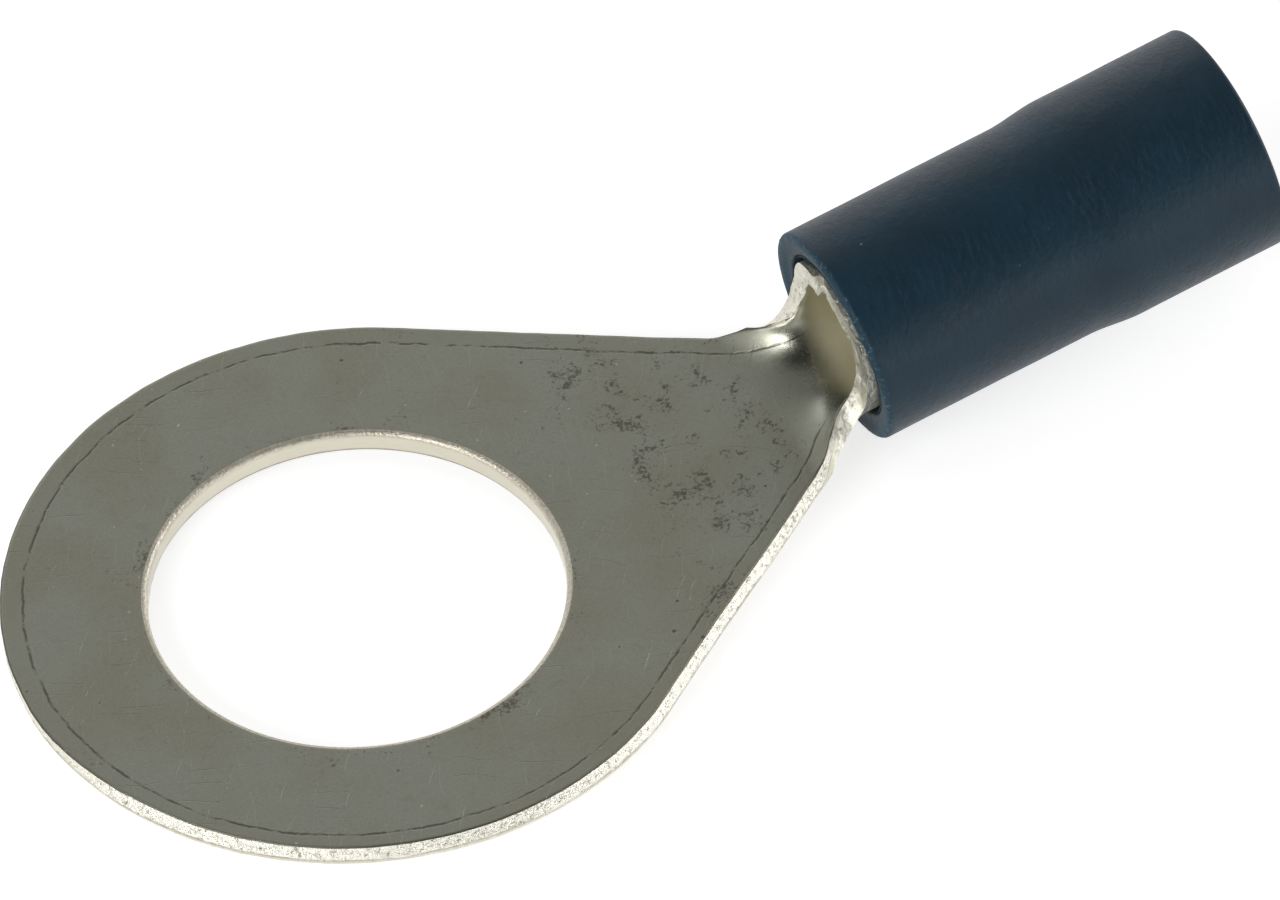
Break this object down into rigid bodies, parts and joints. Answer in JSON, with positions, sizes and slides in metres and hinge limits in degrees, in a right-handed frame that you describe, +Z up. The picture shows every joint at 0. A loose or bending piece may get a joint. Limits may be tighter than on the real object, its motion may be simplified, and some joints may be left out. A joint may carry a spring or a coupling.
{
  "type": "ring terminal",
  "caption": "Insulated ring terminal: a flat tinned copper ring tongue with a stud hole that rises into a rolled wire barrel inside a dark blue plastic sleeve.",
  "frame": {"origin": "centre of the stud hole on the tongue's flat underside", "axes": "+Z up out of the stud hole on the side that the barrel rises, +X along the strip towards the wire"},
  "size_m": [0.0274, 0.0142, 0.0056],
  "materials": {
    "tinned_copper": "dull tin plating, scratched, with bright torn edges",
    "blue_pvc": "satin, finely pebbled"
  },
  "bodies": {
    "root": {"crimp_terminal": "tinned_copper", "insulating_sleeve": "blue_pvc"}
  },
  "joints": []
}
